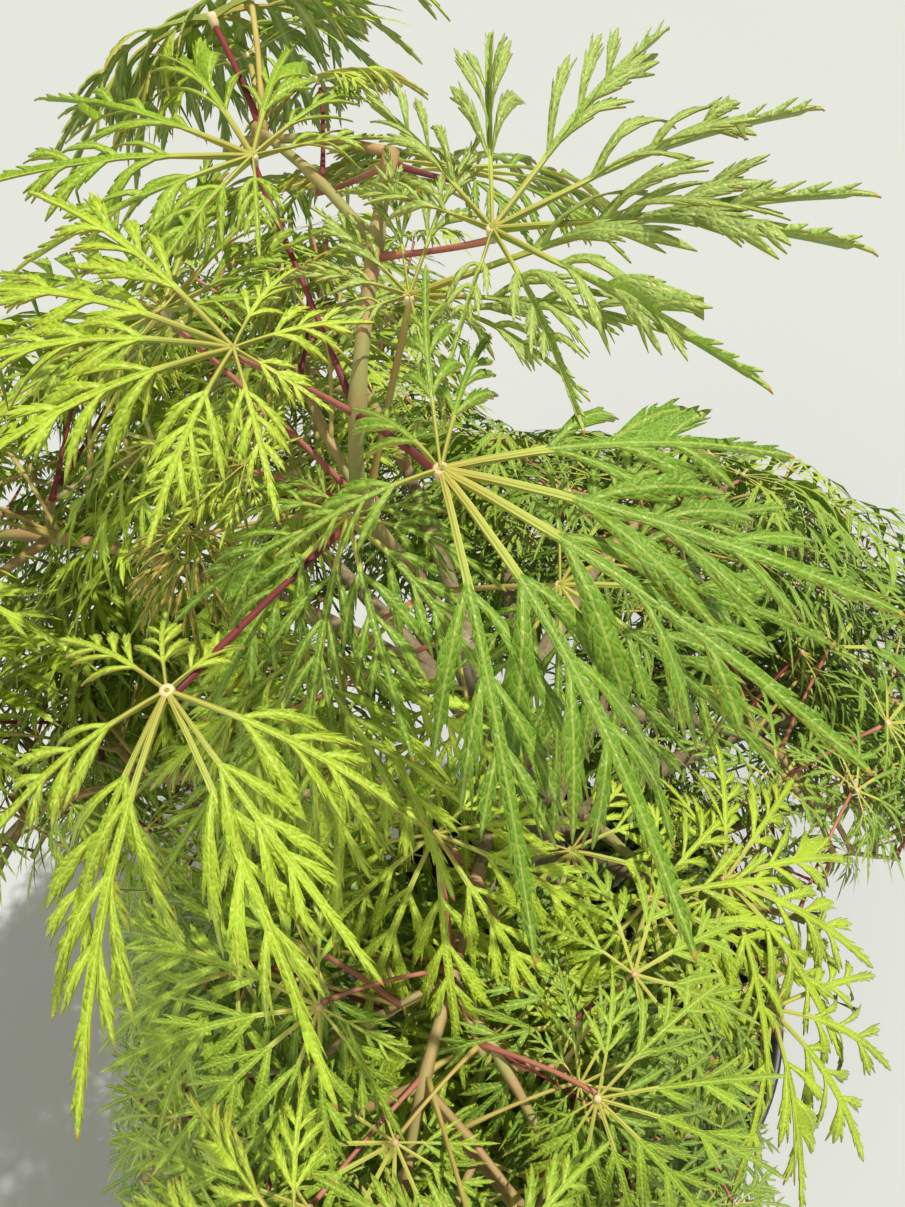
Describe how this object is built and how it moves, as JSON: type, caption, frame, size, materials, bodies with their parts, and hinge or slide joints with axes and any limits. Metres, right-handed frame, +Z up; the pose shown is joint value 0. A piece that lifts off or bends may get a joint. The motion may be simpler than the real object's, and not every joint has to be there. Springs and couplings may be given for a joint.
{
  "type": "potted full moon maple",
  "caption": "Small weeping maple with deeply cut green leaves on a leaning trunk, growing in a plain round black nursery pot of soil.",
  "frame": {"origin": "centre of the pot's flat underside", "axes": "+Z up, -Y towards the viewer's side, +X to the right seen from there"},
  "size_m": [0.6975, 0.6751, 0.8408],
  "materials": {
    "pot": "matt black moulded plastic",
    "soil": "rough, damp bark compost",
    "bark": "smooth grey-brown bark",
    "young_bark": "smooth green-brown young bark",
    "leaves": "soft matt green leaves with pale veins"
  },
  "bodies": {
    "root": {"pot": "pot", "soil": "soil", "trunk": "bark", "inner_front_bough": "young_bark", "low_back_bough": "young_bark", "low_back_left_bough": "young_bark", "low_front_bough": "young_bark", "low_front_left_bough": "young_bark", "low_left_bough": "young_bark", "low_right_bough": "young_bark", "middle_back_bough": "young_bark", "middle_back_left_bough": "young_bark", "middle_back_right_bough": "young_bark", "middle_front_bough": "young_bark", "middle_front_left_bough": "young_bark", "middle_front_right_bough": "young_bark", "middle_left_bough": "young_bark", "middle_right_bough": "young_bark", "upper_back_bough": "young_bark", "upper_back_right_bough": "young_bark", "upper_front_bough": "young_bark", "upper_left_bough": "young_bark", "upper_right_bough": "young_bark", "inner_front_foliage": "leaves", "leader_foliage": "leaves", "low_back_foliage": "leaves", "low_back_left_foliage": "leaves", "low_front_foliage": "leaves", "low_front_left_foliage": "leaves", "low_left_foliage": "leaves", "low_right_foliage": "leaves", "middle_back_foliage": "leaves", "middle_back_left_foliage": "leaves", "middle_back_right_foliage": "leaves", "middle_front_foliage": "leaves", "middle_front_left_foliage": "leaves", "middle_front_right_foliage": "leaves", "middle_left_foliage": "leaves", "middle_right_foliage": "leaves", "upper_back_foliage": "leaves", "upper_back_right_foliage": "leaves", "upper_front_foliage": "leaves", "upper_left_foliage": "leaves", "upper_right_foliage": "leaves"}
  },
  "joints": []
}
